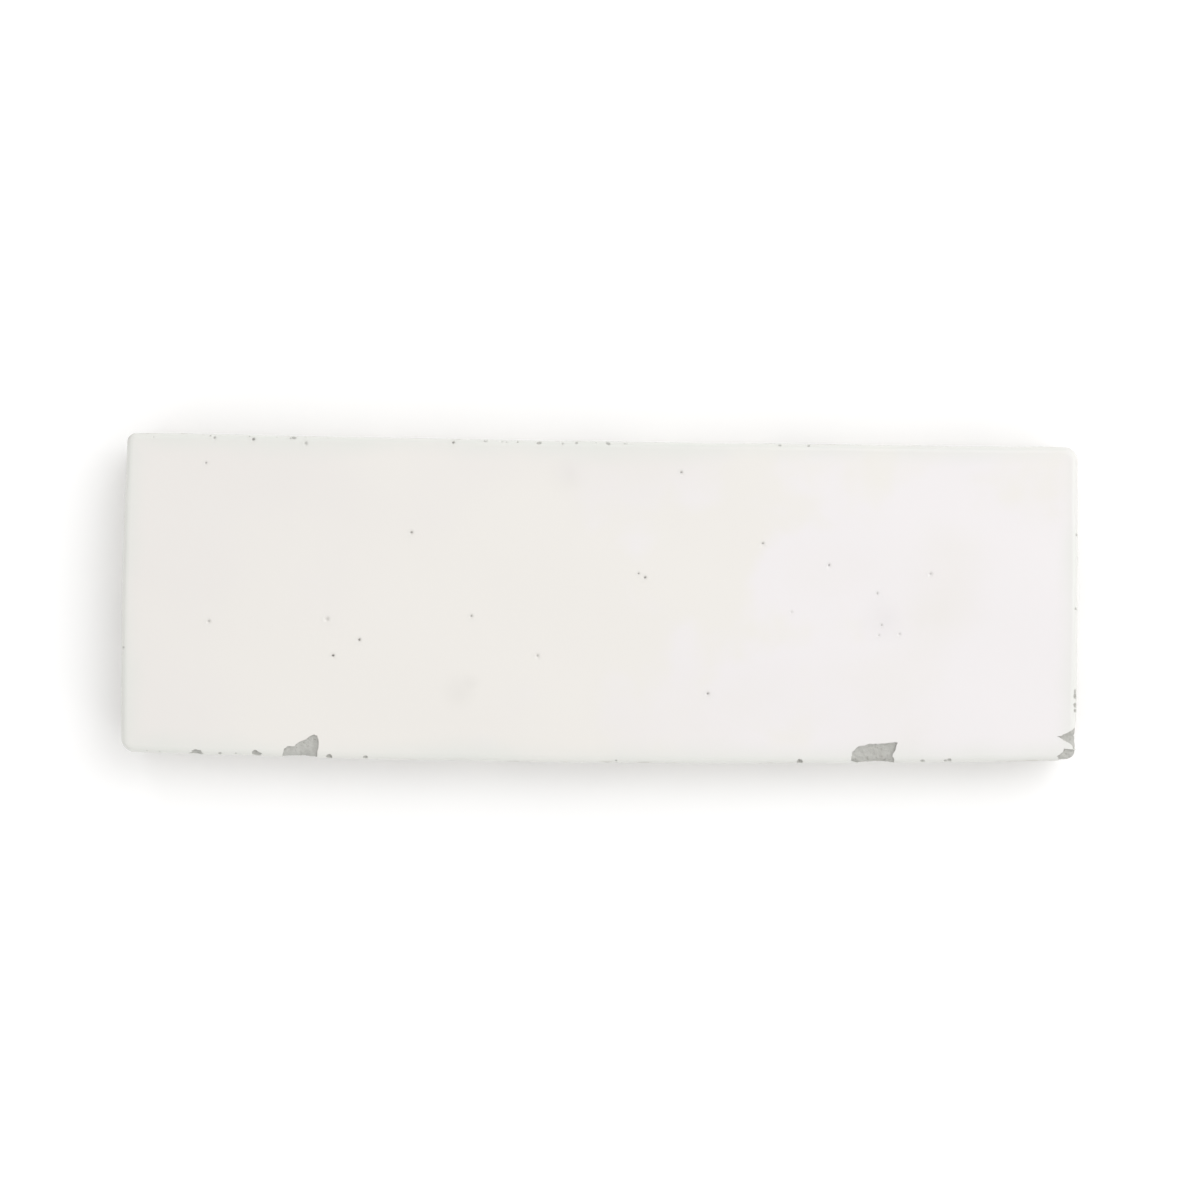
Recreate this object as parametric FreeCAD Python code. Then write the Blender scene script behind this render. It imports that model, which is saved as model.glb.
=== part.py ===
import FreeCAD, Part
import math
import os

# A hand-made glazed zellige tile in the long format, three widths to a length.
# It is one fired piece: a clay slab, glazed on its face, cut by hand, with its damage as it is.
# The tile lies on its bedding face, glazed face up: X runs along it, Y across it, Z up.
# The origin is the middle of the bedding face. All sizes are in millimetres.

# Outline of the glazed face, before the corners are rounded
face_length = 150.0
face_width = 50.3
thickness = 11.0

# How far the middle of each hand-cut edge stands out from the line between its corners
front_bow = 1.05
rear_bow = -0.25
left_bow = 0.3
right_bow = 0.15

# How far each corner was cut in from the true rectangle, along X
front_left_short = 0.0
front_right_short = 0.1
rear_right_short = 0.3
rear_left_short = 0.5

# How far the rear edge runs in towards its right end, along Y
rear_right_drop = 0.9

# Plan radius of each corner
front_left_radius = 2.0
front_right_radius = 1.6
rear_right_radius = 2.4
rear_left_radius = 1.5

# The sides stand upright for a band below the face, and were dressed back below it, so that
# tiles meet at their faces only
upright_band = 3.5
side_lean = 0.8
edge_roll = 1.0
back_arris = 0.5

# The beaten face: a low crown with a few shallow waves
crown_along = 0.35
crown_across = 0.3
wave_height = 0.12
wave_along = 62.0
wave_across = 38.0
wave_start = 0.9
wave_samples_along = 17
wave_samples_across = 9
wave_margin = 4.0

# Flakes lost from the front edge: place of the middle, run along the edge, reach across the
# face from the edge, and drop down the side
left_flake_place = -46.2
left_flake_run = 6.0
left_flake_reach = 3.8
left_flake_drop = 1.5
right_flake_place = 43.0
right_flake_run = 7.6
right_flake_reach = 3.7
right_flake_drop = 1.4

# The corner flake is measured from where the front and right edges would meet
corner_flake_run = 7.0
corner_flake_reach = 3.2
corner_flake_drop = 1.8


def corners(inset):
    """The four corners of the outline, moved in by inset, anticlockwise from front left."""
    half_length = face_length / 2 - inset
    half_width = face_width / 2 - inset
    return [
        (-half_length + front_left_short, -half_width),
        (half_length - front_right_short, -half_width),
        (half_length - rear_right_short, half_width - rear_right_drop),
        (-half_length + rear_left_short, half_width),
    ]


def sharp_outline(inset):
    """A closed wire of four shallow parabolas, with sharp corners, at the height of the back."""
    points = [FreeCAD.Vector(x, y, 0) for x, y in corners(inset)]
    edges = []
    for index, bow in enumerate([front_bow, right_bow, rear_bow, left_bow]):
        start = points[index]
        end = points[(index + 1) % len(points)]
        run = (end - start).normalize()
        outward = FreeCAD.Vector(run.y, -run.x, 0)
        bowed = Part.BezierCurve()
        bowed.setPoles([start, (start + end) * 0.5 + outward * 2 * bow, end])
        edges.append(bowed.toShape())
    return Part.Wire(edges)


def outline(inset, height):
    """The same wire with its corners rounded, at this height."""
    plate = Part.Face(sharp_outline(inset)).extrude(FreeCAD.Vector(0, 0, thickness))
    radii = [front_left_radius, front_right_radius, rear_right_radius, rear_left_radius]
    for (x, y), radius in zip(corners(inset), radii):
        plate = plate.makeFillet(radius, [nearest_rising_edge(plate, x, y)])
    underside = min(plate.Faces, key=lambda face: face.CenterOfMass.z)
    wire = underside.OuterWire.copy()
    wire.translate(FreeCAD.Vector(0, 0, height))
    return wire


def nearest_rising_edge(solid, x, y):
    """The edge that climbs nearest to x, y."""
    foot = Part.Vertex(x, y, 0)
    rising = [edge for edge in solid.Edges if edge.BoundBox.ZLength > thickness / 2]
    return min(rising, key=lambda edge: edge.distToShape(foot)[0])


def foot():
    """The clay below the upright band, with its sides leaning in to a worn back arris."""
    sections = [
        outline(side_lean + back_arris, 0),
        outline(side_lean, back_arris),
        outline(0, thickness - upright_band),
    ]
    return Part.makeLoft(sections, True, True)


def head():
    """The upright band under the waved face, with the glazed edge rolled over all round."""
    blank = Part.Face(outline(0, thickness - upright_band)).extrude(FreeCAD.Vector(0, 0, 2 * upright_band))
    band = blank.cut(above_the_face())
    face = max(band.Faces, key=lambda side: side.CenterOfMass.z)
    return band.makeFillet(edge_roll, face.Edges)


def face_height(x, y):
    """Height of the glazed face: a crown, with shallow waves that run askew."""
    crown = crown_along * (2 * x / face_length) ** 2 + crown_across * (2 * y / face_width) ** 2
    turn_along = 2 * math.pi * x / wave_along + wave_start
    turn_across = 2 * math.pi * y / wave_across
    return thickness - crown + wave_height * math.sin(turn_along + turn_across / 2) * math.cos(turn_across)


def above_the_face():
    """Everything over the waved face, as a solid to cut away."""
    reach_x = face_length / 2 + wave_margin
    reach_y = face_width / 2 + wave_margin
    rows = []
    for i in range(wave_samples_along):
        x = reach_x * (2 * i / (wave_samples_along - 1) - 1)
        row = []
        for j in range(wave_samples_across):
            y = reach_y * (2 * j / (wave_samples_across - 1) - 1)
            row.append(FreeCAD.Vector(x, y, face_height(x, y)))
        rows.append(row)
    surface = Part.BSplineSurface()
    surface.interpolate(rows)
    return surface.toShape().extrude(FreeCAD.Vector(0, 0, thickness))


def front_edge(x):
    """Y of the front edge of the face at x."""
    return -face_width / 2 - front_bow * (1 - (2 * x / face_length) ** 2)


def flake(place, run, reach, drop):
    """A round scoop over the front edge at this place, as long, wide and deep as these sizes."""
    outside = (run**2 / 4 - reach**2) / (2 * reach)
    over = (run**2 / 4 - drop**2) / (2 * drop)
    radius = math.sqrt(run**2 / 4 + outside**2 + over**2)
    edge = front_edge(place)
    return Part.makeSphere(radius, FreeCAD.Vector(place, edge - outside, face_height(place, edge) + over))


def flakes():
    """The three flakes lost from the glazed edge."""
    corner_place = face_length / 2 - front_right_short
    return [
        flake(left_flake_place, left_flake_run, left_flake_reach, left_flake_drop),
        flake(right_flake_place, right_flake_run, right_flake_reach, right_flake_drop),
        flake(corner_place, corner_flake_run, corner_flake_reach, corner_flake_drop),
    ]


def tile():
    """The whole tile, set with the middle of its box over the origin and its back at zero."""
    solid = foot().fuse(head()).removeSplitter()
    for scoop in flakes():
        solid = solid.cut(scoop)
    solid = solid.Solids[0]
    box = solid.optimalBoundingBox(False)
    solid.translate(FreeCAD.Vector(-box.Center.x, -box.Center.y, -box.ZMin))
    return solid


os.makedirs("parts", exist_ok=True)
piece = tile()
size = piece.optimalBoundingBox(False)
print("tile", round(size.XLength, 2), round(size.YLength, 2), round(size.ZLength, 2), "mm")
print("volume", round(piece.Volume / 1000, 2), "cm3, valid", piece.isValid())
piece.exportStep("parts/zellige_tile.step")
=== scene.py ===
import math
import random
from functools import partialmethod
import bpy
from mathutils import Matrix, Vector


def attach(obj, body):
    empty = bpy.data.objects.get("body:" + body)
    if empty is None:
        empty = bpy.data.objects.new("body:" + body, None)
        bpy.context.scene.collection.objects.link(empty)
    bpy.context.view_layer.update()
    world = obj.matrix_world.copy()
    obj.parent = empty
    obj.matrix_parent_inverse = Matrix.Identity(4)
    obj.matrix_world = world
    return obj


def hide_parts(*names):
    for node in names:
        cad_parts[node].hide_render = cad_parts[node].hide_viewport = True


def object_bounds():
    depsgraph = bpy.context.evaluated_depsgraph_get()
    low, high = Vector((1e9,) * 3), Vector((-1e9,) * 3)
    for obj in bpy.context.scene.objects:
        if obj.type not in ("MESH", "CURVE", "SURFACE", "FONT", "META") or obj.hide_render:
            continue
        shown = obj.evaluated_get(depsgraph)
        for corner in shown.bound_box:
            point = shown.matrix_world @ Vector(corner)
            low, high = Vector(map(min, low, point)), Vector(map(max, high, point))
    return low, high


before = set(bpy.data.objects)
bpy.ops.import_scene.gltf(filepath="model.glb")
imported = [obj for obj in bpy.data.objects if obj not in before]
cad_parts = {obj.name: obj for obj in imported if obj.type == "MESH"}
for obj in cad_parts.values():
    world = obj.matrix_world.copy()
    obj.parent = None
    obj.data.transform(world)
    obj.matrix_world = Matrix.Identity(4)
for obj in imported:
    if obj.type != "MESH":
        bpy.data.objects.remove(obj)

from types import SimpleNamespace

import bmesh
import bpy
from mathutils import Euler, Vector, noise
from mathutils.bvhtree import BVHTree
from mathutils.interpolate import poly_3d_calc

# One hand-made glazed tile, with its wear, on a plain pale ground.
# Everything is in metres, in the frame of the packed model: X along the tile, Y across it
# towards the rear edge, Z up through the glazed face. The tile lies on its bare clay back.

bl_info = {
    "name": "Zellige tile",
    "version": (1, 0, 0),
    "blender": (4, 5, 0),
    "location": "3D View > Sidebar > Zellige",
    "description": "Makes one hand-made glazed tile with its wear, and a plain stage to show it on",
    "category": "Object",
}

CAD_LOW, CAD_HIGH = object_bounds()
CAD_NODE = "zellige_tile"
CAD_THICKNESS_MM = (CAD_HIGH.z - CAD_LOW.z) * 1000

mm = 0.001

# As good as no length at all
HAIR = 0.001 * mm

# The cube that the slab starts from is 2 units wide, and its faces lie just past this
CUBE_END = 0.9999

# Length of the cells along the edge of a lost flake, in millimetres
FLAKE_STEP = 0.28

# Rings of cells in a lost flake, as shares of the way from its middle out to the line that it broke along
FLAKE_RINGS = [1.0, 0.97, 0.9, 0.82, 0.74, 0.66, 0.58, 0.5, 0.4, 0.3, 0.2, 0.1]

# Numbers that the surface tree stores on the points, for the material
STORED = ["fall", "glaze", "dent", "pit", "halo"]

# Pinholes burst through the glaze: place along and across the face, radius of the mouth in
# millimetres, and how deep it burst, from 0 to 1
PINHOLES = [
    (-61.9, 20.9, 0.22, 0.75), (-29.6, 10.3, 0.30, 0.70), (12.5, 20.1, 0.28, 0.70),
    (25.4, 9.1, 0.27, 0.70), (35.8, 5.8, 0.26, 0.70), (51.7, 4.6, 0.33, 0.45), (6.0, 4.2, 0.22, 0.80),
    (7.0, 3.6, 0.26, 0.90), (43.4, 1.5, 0.22, 0.65), (44.1, -3.5, 0.20, 0.70), (46.9, -4.9, 0.27, 0.45),
    (43.7, -5.1, 0.18, 0.70), (30.0, -1.6, 0.22, 0.50), (-61.2, -3.9, 0.36, 0.48),
    (-42.7, -3.4, 0.45, 0.38), (-37.6, -6.6, 0.30, 0.80), (-41.7, -9.1, 0.27, 1.00),
    (-20.1, -2.7, 0.27, 0.70), (-9.7, -8.8, 0.33, 0.50), (17.0, -14.5, 0.30, 0.70),
    (-70.2, 24.9, 0.22, 0.30), (-60.6, 24.9, 0.30, 0.60), (-54.5, 24.7, 0.34, 0.75),
    (-48.7, 25.0, 0.26, 0.50), (-46.3, 24.1, 0.38, 0.45), (-23.2, 24.5, 0.32, 0.70),
    (-14.9, 24.7, 0.24, 0.40), (-6.1, 24.5, 0.28, 0.45),
]

# Faint smudges in the glaze: place along and across the face, and radius, in millimetres
SMUDGES = [(-22.0, -15.0, 2.6), (-20.4, -13.4, 1.4), (-5.0, 19.7, 2.4), (44.6, -2.6, 3.0)]

# Lost flakes: the line that each broke along on the face, from left to right as seen from above,
# in millimetres. Its ends lie beyond the cut edge, and the break runs out through the side below.
LEFT_FLAKE = [
    (-49.7, -26.4), (-49.5, -24.6), (-49.3, -23.8), (-48.8, -23.4), (-47.6, -23.3), (-47.4, -22.9),
    (-46.2, -22.3), (-45.5, -21.8), (-44.8, -21.5), (-44.0, -21.6), (-43.7, -22.5), (-43.9, -23.8),
    (-44.4, -26.4),
]
RIGHT_FLAKE = [
    (41.4, -26.4), (40.6, -25.2), (39.6, -24.7), (39.4, -24.2), (39.7, -23.2), (40.6, -22.6), (41.8, -22.2),
    (43.9, -22.0), (46.9, -21.8), (46.5, -22.9), (46.0, -24.0), (46.3, -24.7), (45.4, -26.4),
]
CORNER_SPLINTER = [
    (76.6, -17.7), (74.9, -18.0), (74.5, -19.3), (73.5, -20.1), (71.8, -20.7), (72.9, -21.3),
    (74.0, -21.9), (74.3, -22.8), (76.6, -22.9),
]
CORNER_CHIP = [
    (77.5, -22.4), (74.3, -22.7), (72.9, -22.6), (72.7, -23.1), (71.8, -23.8), (72.1, -24.4), (71.9, -27.4),
]
FLAKES = [LEFT_FLAKE, RIGHT_FLAKE, CORNER_SPLINTER, CORNER_CHIP]

# Nicks in the glazed edge that stand out: place along and across the tile, and run along the edge,
# in millimetres
NICKS = [
    (-63.0, -24.9, 2.0), (-59.4, -25.1, 0.6), (-53.9, -25.2, 1.6), (-42.3, -25.2, 1.2), (-36.4, -25.4, 0.8),
    (31.6, -25.4, 1.0), (50.7, -25.2, 0.9), (54.6, -25.1, 1.3), (75.2, -16.7, 0.8), (75.2, -15.8, 0.9),
    (75.2, -14.3, 0.8), (75.2, -13.5, 0.7), (75.3, -0.6, 0.8), (-18.0, 25.4, 0.7), (28.0, 25.0, 0.6),
    (-75.3, -8.0, 0.7),
]

# Shares of the light of the upright lights, which stand in a ring, clockwise as seen from above. They show
# softly in the gloss of the glaze.
BOX_SHARES = [1.0, 0.8, 1.3, 0.8, 1.0, 0.7, 1.3]
BOX_SIZE = (0.24, 0.75)

# The large soft light: where it stands, and its size
KEY_PLACE = (0.42, 0.30, 0.62)
KEY_SIZE = (0.7, 0.7)


def length(name, millimetres, description):
    """A size that the panel shows as a length."""
    return bpy.props.FloatProperty(
        name=name, description=description, default=millimetres * mm,
        subtype="DISTANCE", unit="LENGTH", precision=5,
    )


def share(name, default, description):
    """A plain number, most often from 0 to 1."""
    return bpy.props.FloatProperty(name=name, description=description, default=default, subtype="FACTOR")


def count(name, default, description):
    """A whole number."""
    return bpy.props.IntProperty(name=name, description=description, default=default)


def colour(name, default, description):
    """A colour in linear light."""
    return bpy.props.FloatVectorProperty(
        name=name, description=description, default=(*default, 1.0), size=4, min=0.0, max=1.0,
        subtype="COLOR",
    )


def power(name, watts, description):
    """The power of a light."""
    return bpy.props.FloatProperty(
        name=name, description=description, default=watts, subtype="POWER", unit="POWER",
    )


class TileShape(bpy.types.PropertyGroup):
    """Sizes of the slab as it was cut and beaten."""

    tile_length: length("Length", 150.15, "Between the corners of the face, along the tile")
    tile_width: length("Width", 50.45, "Between the left corners of the face, across the tile")
    thickness: length("Thickness", CAD_THICKNESS_MM - 0.12, "From the back to the middle of the face")
    front_bow: length("Front bow", 1.05, "How far the middle of the front edge stands out")
    rear_bow: length("Rear bow", -0.25, "How far the middle of the rear edge stands out")
    left_bow: length("Left bow", 0.3, "How far the middle of the left edge stands out")
    right_bow: length("Right bow", 0.15, "How far the middle of the right edge stands out")
    front_right_short: length("Front right cut-in", 0.1, "How far the corner was cut in along the tile")
    rear_right_short: length("Rear right cut-in", 0.3, "How far the corner was cut in along the tile")
    rear_left_short: length("Rear left cut-in", 0.5, "How far the corner was cut in along the tile")
    rear_right_drop: length("Rear right drop", 0.9, "How far the rear edge runs in towards its right end")
    front_left_radius: length("Front left radius", 2.0, "Plan radius of the corner")
    front_right_radius: length("Front right radius", 1.6, "Plan radius of the corner")
    rear_right_radius: length("Rear right radius", 2.4, "Plan radius of the corner")
    rear_left_radius: length("Rear left radius", 1.5, "Plan radius of the corner")
    edge_roll: length("Edge roll", 1.0, "Usual radius of the roll from the face to the sides")
    back_roll: length("Back arris", 0.5, "Radius of the worn edge round the back")
    upright_band: length("Upright band", 3.5, "Height of the upright part of the sides, under the face")
    side_lean: length("Side lean", 0.8, "How far the sides were dressed back at the foot")
    crown_along: length("Crown along", 0.35, "How far the ends of the face lie below its middle")
    crown_across: length("Crown across", 0.3, "How far the long edges of the face lie below its middle")
    wave_height: length("Wave height", 0.12, "Height of the shallow waves of the beaten face")
    wave_along: length("Wave along", 62.0, "Length of the waves along the tile")
    wave_across: length("Wave across", 38.0, "Length of the waves across the tile")
    wave_start: share("Wave start", 0.9, "Turn of the wave at the middle of the tile, in radians")
    rag_depth: length("Rag depth", 0.32, "How far the hand-cut edge wanders in from its line")
    rag_length: length("Rag length", 9.0, "Length of the wander along the edge")
    cell: length("Cell", 0.55, "Size of the cells of the mesh on the face")
    side_rows: count("Side rows", 28, "Rows of cells down the sides")


class TileSurface(bpy.types.PropertyGroup):
    """Relief of the glaze and of the bare clay."""

    swell_height: length("Swell height", 0.10, "Height of the soft swells of the glaze")
    swell_length: length("Swell length", 13.0, "Length of the soft swells of the glaze")
    ripple_height: length("Ripple height", 0.035, "Height of the small ripples of the glaze")
    ripple_length: length("Ripple length", 4.0, "Length of the small ripples of the glaze")
    glaze_thickness: length("Glaze thickness", 0.16, "How far the glaze stands proud of the clay")
    glaze_reach: length("Glaze reach", 1.1, "How far the glaze usually comes down the sides")
    drip_reach: length("Drip reach", 4.2, "How much further the longest drips come down")
    drip_length: length("Drip length", 21.0, "How far apart the drips are along the sides")
    fray_reach: length("Fray reach", 0.9, "How far the edge of the glaze frays up and down")
    fray_length: length("Fray length", 3.0, "Length of the frayed stretches of the glaze edge")
    clay_grain: length("Clay grain", 0.22, "Depth of the grain of the bare clay")
    clay_grain_length: length("Clay grain length", 1.8, "Size of the grain of the bare clay")
    clay_hole: length("Clay hole", 0.35, "Depth of the small holes in the bare clay")
    dressing_depth: length("Dressing depth", 0.75, "Depth of the hollows struck into the sides")
    dressing_length: length("Dressing length", 7.0, "Width of the hollows struck into the sides")
    drag_depth: length("Drag depth", 0.32, "Depth of the drag marks on the back")
    drag_length: length("Drag length", 2.6, "Width of the drag marks on the back")
    wire_depth: length("Wire depth", 0.10, "Depth of the curved marks of the cutting wire on the back")
    wire_length: length("Wire length", 2.5, "Distance between two marks of the cutting wire")
    pinhole_depth: share("Pinhole depth", 1.3, "Depth of a pinhole over the radius of its mouth")
    pinhole_lip: share("Pinhole lip", 0.06, "Height of the lip round a pinhole over its radius")


class TileDamage(bpy.types.PropertyGroup):
    """Nicks and flakes lost from the glazed edge."""

    nick_count: count("Small nicks", 60, "How many small nicks lie along the glazed edge")
    nick_smallest: length("Smallest nick", 0.25, "Run of the smallest nick along the edge")
    nick_largest: length("Largest nick", 1.0, "Run of the largest of the small nicks along the edge")
    nick_spacing: length("Nick spacing", 1.2, "Least distance between the ends of two nicks")
    nick_bite: share("Nick bite", 0.26, "How deep a nick is, as a share of its run")
    nick_round: share("Nick round", 0.62, "Radius of the hollow of a nick, as a share of its run")
    nick_tilt: share("Nick tilt", 0.4, "How far a nick may lean to either side, in radians")
    nick_lumps: share("Nick lumps", 0.55, "Height of the lumps in a nick, as a share of its run")
    nick_grain: share("Nick grain", 0.18, "Height of the grain in a nick, as a share of its run")
    nick_seed: count("Nick seed", 11, "Changes where the small nicks lie")
    glaze_coat: length("Glaze coat", 0.3, "Thickness of the glaze where it is broken through")
    flake_ledge: length("Flake ledge", 0.35, "Depth of the upright wall round a flake")
    flake_bowl: length("Flake bowl", 0.45, "How much deeper a flake is in its middle")
    flake_drop: length("Flake drop", 2.3, "How far below the face a flake runs out through the side")
    flake_grain: length("Flake grain", 0.16, "Roughness of the broken clay in a flake")
    flake_jag: length("Flake jag", 0.16, "How far the line that a flake broke along wanders")
    flake_seed: count("Flake seed", 5, "Changes the grain of the flakes")


class TileFinish(bpy.types.PropertyGroup):
    """Colours and gloss of the glaze and the clay."""

    glaze: colour("Glaze", (0.792, 0.770, 0.735), "The warm white glaze where it lies thick")
    # Cool glaze is also the painted light towards the right end of the tile
    cool_glaze_and_light: colour("Cool glaze", (0.805, 0.780, 0.785), "The glaze where it fired a cooler white")
    # Grey glaze is also the painted shade towards the left end of the tile
    grey_glaze_and_shade: colour("Grey glaze", (0.780, 0.756, 0.730), "The glaze where it fired greyer")
    thin_glaze: colour("Thin glaze", (0.735, 0.742, 0.708), "The glaze where it ran thin along the edges")
    clay: colour("Clay", (0.535, 0.535, 0.505), "The fired clay body, where it is freshly broken")
    skin: colour("Skin", (0.50, 0.475, 0.425), "The fired skin of the clay on the sides and the back")
    # Dark clay is also the painted shade laid into the hollows of the clay
    dark_clay: colour("Dark clay", (0.27, 0.25, 0.215), "The clay in its hollows and where it is dirty")
    # Pale clay is also the painted highlight laid on the ridges of the clay
    pale_clay: colour("Pale clay", (0.66, 0.64, 0.59), "The clay on its ridges, where it was rubbed")
    # The pinhole colour is the clay darkened by painted shade; the faint smudges use it too
    burst: colour("Pinhole", (0.30, 0.29, 0.275), "The bottom of a pinhole")
    smudges: share("Smudges", 0.07, "How strong the faint smudges are")
    halos: share("Halos", 0.16, "How strong the grey halo round a pinhole is")
    rub: share("Rub", 0.7, "How far the glaze is rubbed away along the roll")
    haze: share("Haze", 0.06, "How much rougher the glaze is where it is haziest")
    peel: share("Peel", 0.012, "Depth of the fine peel of the glaze, in millimetres")
    glaze_roughness: share("Glaze roughness", 0.2, "Roughness of the glaze where it is smoothest")
    clay_roughness: share("Clay roughness", 0.92, "Roughness of the bare clay")


class StageSettings(bpy.types.PropertyGroup):
    """Ground, lights and camera."""

    ground: colour("Ground", (0.93, 0.93, 0.93), "The plain pale ground")
    ground_glow: share("Ground glow", 0.12, "Light that the ground itself gives off")
    ground_size: bpy.props.FloatProperty(
        name="Ground size", description="Width of the ground", default=6.0, subtype="DISTANCE", unit="LENGTH",
    )
    ceiling: share("Ceiling light", 0.88, "Strength of the light of the room from straight above")
    horizon: share("Horizon light", 0.70, "Strength of the light of the room from the sides")
    under: share("Light from below", 0.9, "Strength of the light from below, where no ground is in its way")
    slant: share("Slant", 0.16, "How much brighter the room is on its right side than on its left")
    key_power: power("Key light", 1.9, "Power of the large soft light")
    box_power: power("Box light", 0.5, "Mean power of the upright lights")
    box_distance: length("Box distance", 1100.0, "How far the upright lights stand from the tile")
    box_height: length("Box height", 620.0, "Height of the middle of the upright lights")
    lens: bpy.props.FloatProperty(
        name="Lens", description="Focal length of the camera in millimetres", default=135.0,
    )
    frame_share: share("Frame share", 0.80, "Share of the picture's width that the tile takes")
    camera_turn: bpy.props.FloatProperty(
        name="Camera turn", description="How far the camera is turned about its own line of sight",
        default=math.radians(0.55), subtype="ANGLE", unit="ROTATION",
    )


class Field:
    """A value that flows through a node tree. Arithmetic on it adds the nodes that work it out."""

    def __init__(self, builder, socket):
        self.builder = builder
        self.socket = socket

    def math(self, operation, *others):
        node = self.builder.add("ShaderNodeMath", operation=operation)
        for socket, value in zip(node.inputs, [self, *others]):
            self.builder.plug(value, socket)
        return Field(self.builder, node.outputs[0])

    __add__ = __radd__ = partialmethod(math, "ADD")
    __sub__ = partialmethod(math, "SUBTRACT")
    __mul__ = __rmul__ = partialmethod(math, "MULTIPLY")
    __truediv__ = partialmethod(math, "DIVIDE")
    __pow__ = partialmethod(math, "POWER")
    __abs__ = partialmethod(math, "ABSOLUTE")
    sign = partialmethod(math, "SIGN")
    sine = partialmethod(math, "SINE")
    cosine = partialmethod(math, "COSINE")
    root = partialmethod(math, "SQRT")
    at_most = partialmethod(math, "MINIMUM")
    at_least = partialmethod(math, "MAXIMUM")

    # One where the value is above the other, and nought elsewhere
    above = partialmethod(math, "GREATER_THAN")

    def __rsub__(self, other):
        return self * -1 + other

    def __rtruediv__(self, other):
        return self ** -1 * other

    def __neg__(self):
        return self * -1

    def rise(self, low, high):
        """A smooth rise from nought at low to one at high, or a fall where low is above high."""
        node = self.builder.add("ShaderNodeMapRange", interpolation_type="SMOOTHSTEP")
        for name, value in (("Value", self), ("From Min", low), ("From Max", high)):
            self.builder.plug(value, node.inputs[name])
        return Field(self.builder, node.outputs[0])

    def bump_at(self, middle, width):
        """A smooth hump of height one, as wide as this on each side of its middle."""
        return 1 - abs(self - middle).rise(0, width)


class Builder:
    """Adds nodes to one tree, for geometry or for a material."""

    def __init__(self, tree):
        self.tree = tree

    def plug(self, value, socket):
        if isinstance(value, Field):
            self.tree.links.new(value.socket, socket)
        else:
            socket.default_value = value

    def add(self, kind, inputs=None, **settings):
        """A new node with these settings, and with values or fields plugged into its inputs."""
        node = self.tree.nodes.new(kind)
        for name, value in settings.items():
            setattr(node, name, value)
        for name, value in (inputs or {}).items():
            self.plug(value, node.inputs[name])
        return node

    def field(self, kind, inputs=None, output=0, **settings):
        """The output of such a new node."""
        return Field(self, self.add(kind, inputs, **settings).outputs[output])

    def parts(self, vector):
        """The three components of a vector."""
        node = self.add("ShaderNodeSeparateXYZ", {"Vector": vector})
        return [Field(self, socket) for socket in node.outputs]

    def vector(self, x, y, z):
        return self.field("ShaderNodeCombineXYZ", {"X": x, "Y": y, "Z": z})

    def scaled(self, vector, factor):
        return self.field("ShaderNodeVectorMath", {0: vector, "Scale": factor}, operation="SCALE")

    def noise(self, vector, size, detail=2.0, roughness=0.5):
        """Soft noise from 0 to 1, with features about as large as this size."""
        inputs = {"Vector": vector, "Scale": 1 / size, "Detail": detail, "Roughness": roughness}
        return self.field("ShaderNodeTexNoise", inputs)

    def cells(self, vector, size, output="Distance"):
        """Random cells about as large as this size."""
        return self.field("ShaderNodeTexVoronoi", {"Vector": vector, "Scale": 1 / size}, output=output)

    def mixed(self, factor, first, second):
        """One colour where the factor is 0, and the other where it is 1."""
        return self.field("ShaderNodeMix", {0: factor, 6: first, 7: second}, output=2, data_type="RGBA")

    def attribute(self, name):
        """A number stored on the mesh, as a material reads it."""
        return self.field("ShaderNodeAttribute", output="Fac", attribute_name=name)


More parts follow.
